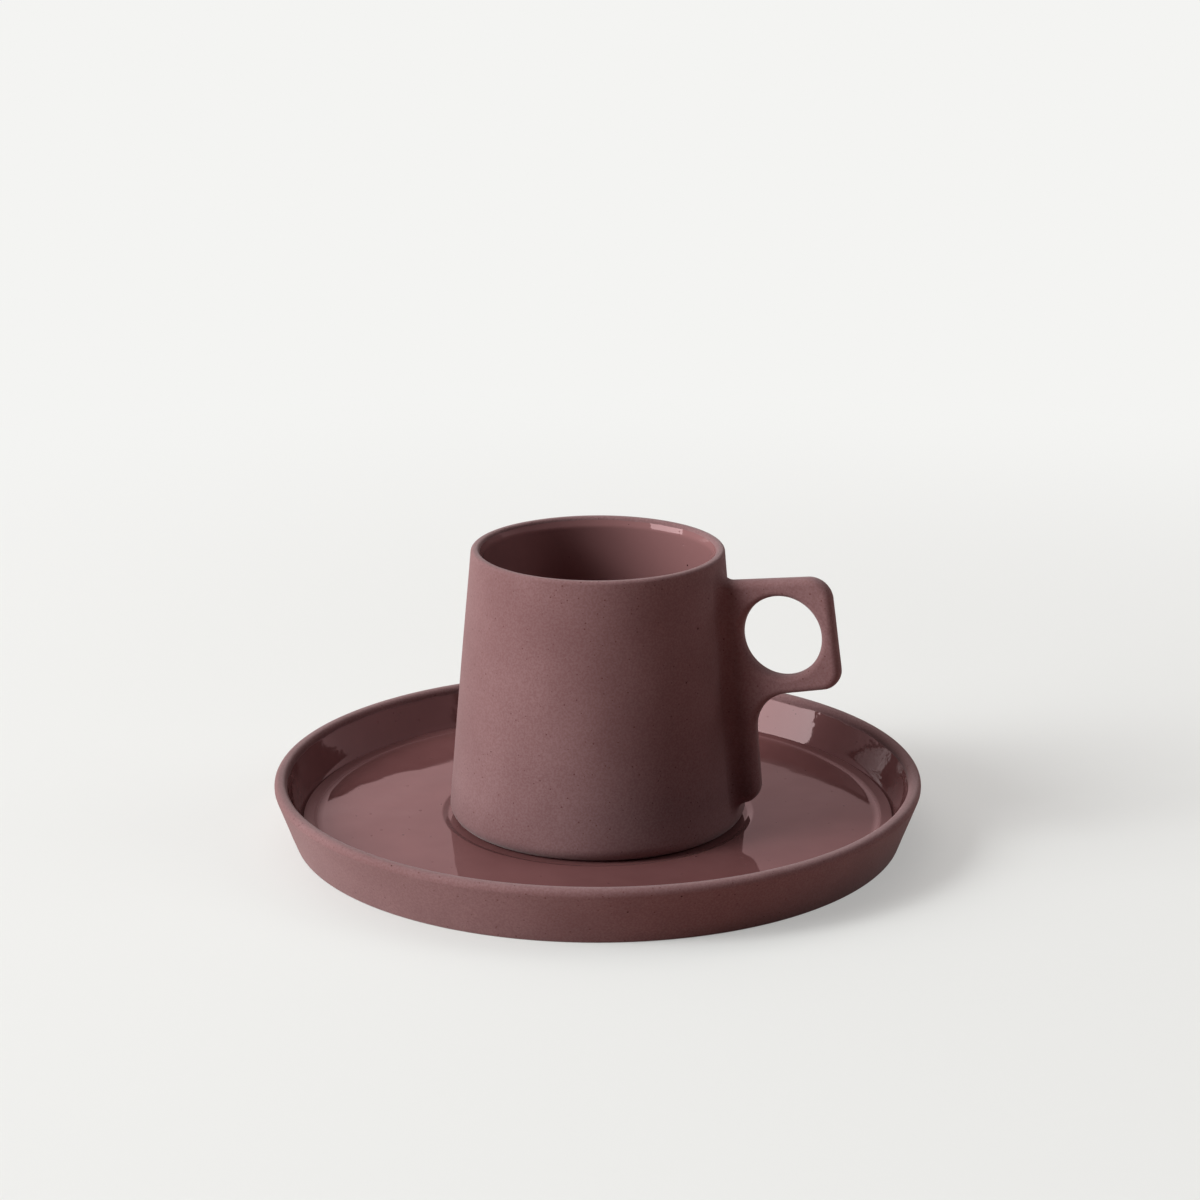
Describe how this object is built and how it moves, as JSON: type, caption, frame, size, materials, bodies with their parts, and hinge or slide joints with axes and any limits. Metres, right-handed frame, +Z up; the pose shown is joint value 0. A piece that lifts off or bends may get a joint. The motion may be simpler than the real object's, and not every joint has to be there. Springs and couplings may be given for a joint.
{
  "type": "coffee cup with saucer",
  "caption": "Tapered stoneware coffee cup with a slab handle and finger hole, standing in the well of a flared, glazed saucer.",
  "frame": {"origin": "on the table, under the centre of the saucer's foot", "axes": "+Z up along the shared axis of saucer and cup; +X towards the cup's handle; +Y to the handle's side"},
  "size_m": [0.16, 0.16, 0.0722],
  "materials": {
    "stoneware": "matt, unglazed and smooth-sanded",
    "gloss_glaze": "gloss glaze"
  },
  "bodies": {
    "saucer": {"saucer_body": "stoneware", "saucer_glaze": "gloss_glaze"},
    "cup": {"cup_body": "stoneware", "cup_glaze": "gloss_glaze", "cup_handle": "stoneware"}
  },
  "joints": [
    {"name": "cup_lift", "type": "slide", "parent": "saucer", "child": "cup", "axis": [0, 0, 1], "range_m": [0, 0.1]}
  ]
}
